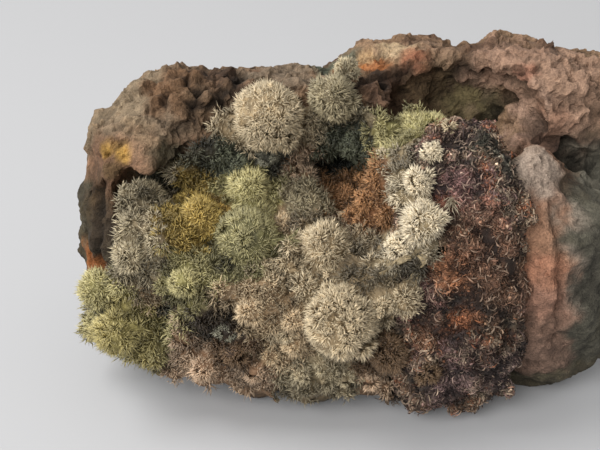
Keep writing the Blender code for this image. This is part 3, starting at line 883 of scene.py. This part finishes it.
spots, outs, beside = scattered(crust.data, tuftLook["spacing"], 91)
good = (nearestBall(spots)[1] > -tuftLook["intoBalls"] * mm) & (spots[:, 2] > tuftLook["floorGap"] * mm)
good &= (outs[:, 2] > -0.45) | (spots[:, 2] > tuftLook["overhangs"] * mm)
spots, outs, beside = spots[good], outs[good], beside[good]
astray = spots + chance.normal(0, tuftLook["astray"] * mm, spots.shape)
# painted shade: the tufts are darker in the valleys of the ground and between clusters: each is a smooth step of
# its own
tuftShade = smoothStep(-0.42, 0.05, crustRise[beside])[:, None] * 0.9 + 0.22
tuftShade = tuftShade * (0.62 + 0.5 * smoothStep(0.75, 0.4, cellDistance(spots, tuftLook["cluster"], 97))[:, None])
rootColours, tipColours = crustColours(astray) * tuftShade * 0.8, tuftColours(astray) * tuftShade
half = len(spots) // 2
order = np.argsort(spots[:, 0])
for name, part in (("tuftsLeft", order[:half]), ("tuftsRight", order[half:])):
    growTufts(name, spots[part], outs[part], tuftLook, rootColours[part], tipColours[part], aragoniteNeedles)


# knob: a crowded crust of short crystals, stained purple brown by iron

knobLook = {
    "square": 0.25, "lumpSize": 2.8, "lumpHeight": 2.7, "budSize": 1.2, "budHeight": 1.0, "grainSize": 0.5,
    "grainHeight": 0.3, "sink": 0.7, "facing": 1.2, "floorGap": 0.2,
    "deep": 0.5, "flatten": 0.4,  # relief deeper than this is flattened to this share
    "dark": "#2d2520", "brown": "#5c4736", "rose": "#715955", "rust": "#7f4f35", "pale": "#978570",
    "spacing": 0.5, "perTuft": 3, "spread": 2.6, "length": 0.5, "width": 0.17, "bend": 0.4,  # crystals
    "grainSpacing": 0.4, "grainLength": 0.6, "grainWidth": 0.44, "grainBend": 0.1,
    "strandSpacing": 0.56, "strandLength": 1.1, "strandWidth": 0.19, "strandRise": 0.3, "strandCurl": 0.25,
    "crystalsFrom": -0.3, "grainsFrom": -3.0, "strandsFrom": -0.45,  # the lowest places that carry them
    "paleStrands": 0.3, "paleStrand": "#bca48e",
}

# stains on the knob: pixel across, pixel down, reach mm, colour, share
knobPatches = {
    "roseTop": (448, 180, 4.5, "#7a5b59", 0.7),
    "roseLow": (415, 300, 4.0, "#765752", 0.7),
    "darkGreen": (485, 146, 3.4, "#2b2c22", 0.95),
    "darkTop": (455, 140, 3, "#3c2d28", 0.8),
    "orangeA": (455, 275, 2.8, "#cd8d64", 0.8),
    "orangeB": (465, 320, 2.4, "#a9663f", 0.75),
    "orangeC": (430, 330, 2.4, "#85583c", 0.5),
    "orangeSmall": (443, 205, 1.5, "#a0654a", 0.7),
    "brownMiddle": (480, 240, 5, "#6a4c3b", 0.8),
    "brownRight": (505, 300, 5, "#5e4636", 0.8),
    "greyLow": (495, 375, 4.5, "#5c4c49", 0.8),
    "greyLowLeft": (445, 385, 4.5, "#66524f", 0.8),
    "darkLow": (475, 355, 2.4, "#33251f", 0.8),
    "whiteCluster": (503, 161, 1.1, "#cfc4ac", 0.9),
    "creamEdge": (418, 235, 3, "#9a8468", 0.8),
    "creamEdgeTop": (430, 165, 2.4, "#8f7c66", 0.8),
}

knob = fineCopy("knob_druse", "knobDruse", knobLook["square"], 3)
points, normals = pointsOf(knob.data), normalsOf(knob.data)
# lumps with buds on them, in mm: high at the dots of two lattices, low between them, and uneven by noise
lumps = 0.5 - cellDistance(shaken(points, 2.4, 2, 103, 0.8), knobLook["lumpSize"], 101)
lumps = lumps * knobLook["lumpHeight"] * (0.85 + 0.25 * fractalNoise(points, 5, 2, 107))
buds = (0.5 - cellDistance(points, knobLook["budSize"], 111)) * knobLook["budHeight"]
knobRise = lumps + buds * (0.6 + 0.6 * fractalNoise(points, 3, 2, 108))
grain = (0.5 - cellDistance(points, knobLook["grainSize"], 121)) * knobLook["grainHeight"]
swelling = knobRise + grain - knobLook["sink"]
deep = knobLook["deep"]
swelling = np.where(swelling < -deep, (swelling + deep) * knobLook["flatten"] - deep, swelling)
swelling = swelling * facesOut(points, normals, knobLook["facing"])
points = points + normals * (swelling * mm)[:, None]
points[:, 2] = np.maximum(points[:, 2], knobLook["floorGap"] * mm)
setPoints(knob.data, points)
knobTree = treeOf(knob.data)


def knobColours(places):
    # brown, with rose, rust, pale and dark spots where a noise of its own is high
    ground = np.repeat(linear(knobLook["brown"])[None], len(places), axis=0)
    for name, size, seed in (("rose", 3.2, 917), ("rust", 1.5, 924), ("dark", 1.8, 931), ("pale", 1.0, 938)):
        share = smoothStep(0.0, 0.55, fractalNoise(places, size, 3, seed))[:, None] * 0.85
        ground = mixed(ground, linear(knobLook[name]), share)
    return painted(places, ground, knobPatches, knobTree, 0.5, 141)


# painted shade: the knob's ground is darker where its lumps are low
setTint(knob.data, knobColours(points) * (0.14 + 0.8 * smoothStep(-0.6, 0.6, knobRise))[:, None])
print("knob", len(knob.data.polygons) * 2, "triangles")

# Iron-stained druse: crowded stubby crystals, dull with small glints, and painted shade in the gaps.
stainedDruse, shader = newMaterial("stainedDruse", 0.6, 1.6, 0.25)
place, tint = placeAndTint(stainedDruse)
specks = noiseAt(stainedDruse, place, 0.5, 4.0, 0.65)
colour = scaled(stainedDruse, tint, ranged(stainedDruse, specks, 0.3, 0.7, 0.6, 1.4))
feed(stainedDruse, shader, {"Base Color": colour, "Roughness": ranged(stainedDruse, specks, 0.3, 0.7, 0.85, 0.5),
                            "Normal": bumped(stainedDruse, specks, 0.7, 0.2)})
asPiece(knob, stainedDruse)
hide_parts("knob_druse")


def onKnob(spacing, seed, lowest, shake, spread):
    # places on the knob's front that stand higher than this on its lumps, and a colour for each, with painted
    # shade where low
    spots, outs, beside = scattered(knob.data, spacing, seed)
    rise = knobRise[beside]
    good = (rise > lowest) & (spots[:, 2] > 1.0 * mm) & (outs @ np.array(-inward) > -0.5)
    spots, outs, rise = spots[good], outs[good], rise[good]
    zone = knobColours(spots + chance.normal(0, shake * mm, spots.shape))
    zone = zone * np.exp(chance.normal(0, spread, (len(zone), 1)))
    return spots, outs, zone * (0.17 + 0.95 * smoothStep(-0.7, 0.8, rise))[:, None]


spots, outs, zone = onKnob(knobLook["spacing"], 151, knobLook["crystalsFrom"], 0.4, 0.3)
growTufts("knobCrystals", spots, outs, knobLook, zone * 0.5, zone * 1.4, stainedDruse)


def growStrands(name, middles, normals, colours):
    # curled crystals: each is a three-sided rod of four rings along an arch, whose middle lifts off the ground by
    # rise x (1 - s^2) and swings sideways by curl x (1 - s^2), with s from -1 to 1 along it
    count = len(middles)
    along = sideways(normals)
    across = np.cross(normals, along)
    size = chance.uniform(0.5, 1.3, (count, 1))
    tip = chance.normal(0, 0.5, (count, 1))  # how far one end lifts more than the other
    shapes = []
    for s in (-1.0, -0.35, 0.35, 1.0):
        arch = 1 - s * s
        middle = (middles + along * s * knobLook["strandLength"] / 2 * mm * size
                  + normals * (arch * knobLook["strandRise"] + s * tip * 0.3) * mm * size
                  + across * arch * knobLook["strandCurl"] * mm * np.sign(tip))
        thick = knobLook["strandWidth"] * mm * (0.45 + 0.55 * arch) * size
        for k in range(3):
            angle = 2 * np.pi * k / 3
            shapes.append(middle + (across * np.cos(angle) + normals * np.sin(angle)) * thick / 2)
    ring = [(0, 1, 4), (0, 4, 3), (1, 2, 5), (1, 5, 4), (2, 0, 3), (2, 3, 5)]
    pattern = [tuple(i + 3 * step for i in face) for step in range(3) for face in ring] + [(0, 2, 1), (9, 10, 11)]
    # painted shade and light: each strand is darker at its ends, down by the ground, and lighter where its middle
    # rises
    strandShade = np.repeat(np.array([0.6, 1.1, 1.2, 0.8]), 3)[None, :, None]
    repeated(name, np.stack(shapes, axis=1), np.array(pattern), colours[:, None, :] * strandShade, stainedDruse)


spots, outs, zone = onKnob(knobLook["grainSpacing"], 171, knobLook["grainsFrom"], 0.4, 0.5)
ways = unit(outs * 0.4 + chance.normal(0, 0.8, spots.shape))
grainSizes = chance.uniform(0.6, 1.35, len(spots))
grainLengths = knobLook["grainLength"] * mm * grainSizes
needlePiece("knobGrains", spots - ways * grainLengths[:, None] / 2, ways, grainLengths,
            knobLook["grainWidth"] * mm * grainSizes, zone * 0.7, zone * 1.3, knobLook["grainBend"], stainedDruse)

spots, outs, zone = onKnob(knobLook["strandSpacing"], 161, knobLook["strandsFrom"], 0.5, 0.3)
isPale = (chance.uniform(0, 1, len(zone)) < knobLook["paleStrands"])[:, None]
paler = zone * 0.68 + linear(knobLook["paleStrand"]) * 0.32
growStrands("knobStrands", spots, outs, np.where(isPale, paler, zone * 1.15))


# floor and light

stageLook = {
    "floor": "#b1b1b2", "halfSize": 900, "fill": 0.52, "aim": (0, 0, 15),
    "window": ((-640, 80, 880), 600, 8.3), "front": ((-330, -560, 420), 500, 6.2),  # place, size, watts
}

half = stageLook["halfSize"] * mm
floorMesh = bpy.data.meshes.new("floor")
floorCorners = [(-half, -half, 0), (half, -half, 0), (half, half, 0), (-half, half, 0)]
floorMesh.from_pydata(floorCorners, [], [(0, 1, 2, 3)])
floor = bpy.data.objects.new("floor", floorMesh)
bpy.context.scene.collection.objects.link(floor)
mattPaper, shader = newMaterial("mattPaper", 0.9, 1.5, 0.5)
shader.inputs["Base Color"].default_value = rgba(stageLook["floor"])
floorMesh.materials.append(mattPaper)

# two soft lights: a window above on the left, and a weaker one in front
for name in ("window", "front"):
    place, size, power = stageLook[name]
    data = bpy.data.lights.new(name, "AREA")
    data.energy = power
    data.size = size * mm
    lamp = bpy.data.objects.new(name, data)
    lamp.location = Vector(place) * mm
    lamp.rotation_euler = (Vector(stageLook["aim"]) - Vector(place)).to_track_quat("-Z", "Y").to_euler()
    bpy.context.scene.collection.objects.link(lamp)

world = bpy.data.worlds.new("room")
bpy.context.scene.world = world
world.use_nodes = True
background = world.node_tree.nodes["Background"]
background.inputs["Color"].default_value = (1, 1, 1, 1)
background.inputs["Strength"].default_value = stageLook["fill"]
bpy.context.scene.view_settings.view_transform = "Standard"

print("scene done")
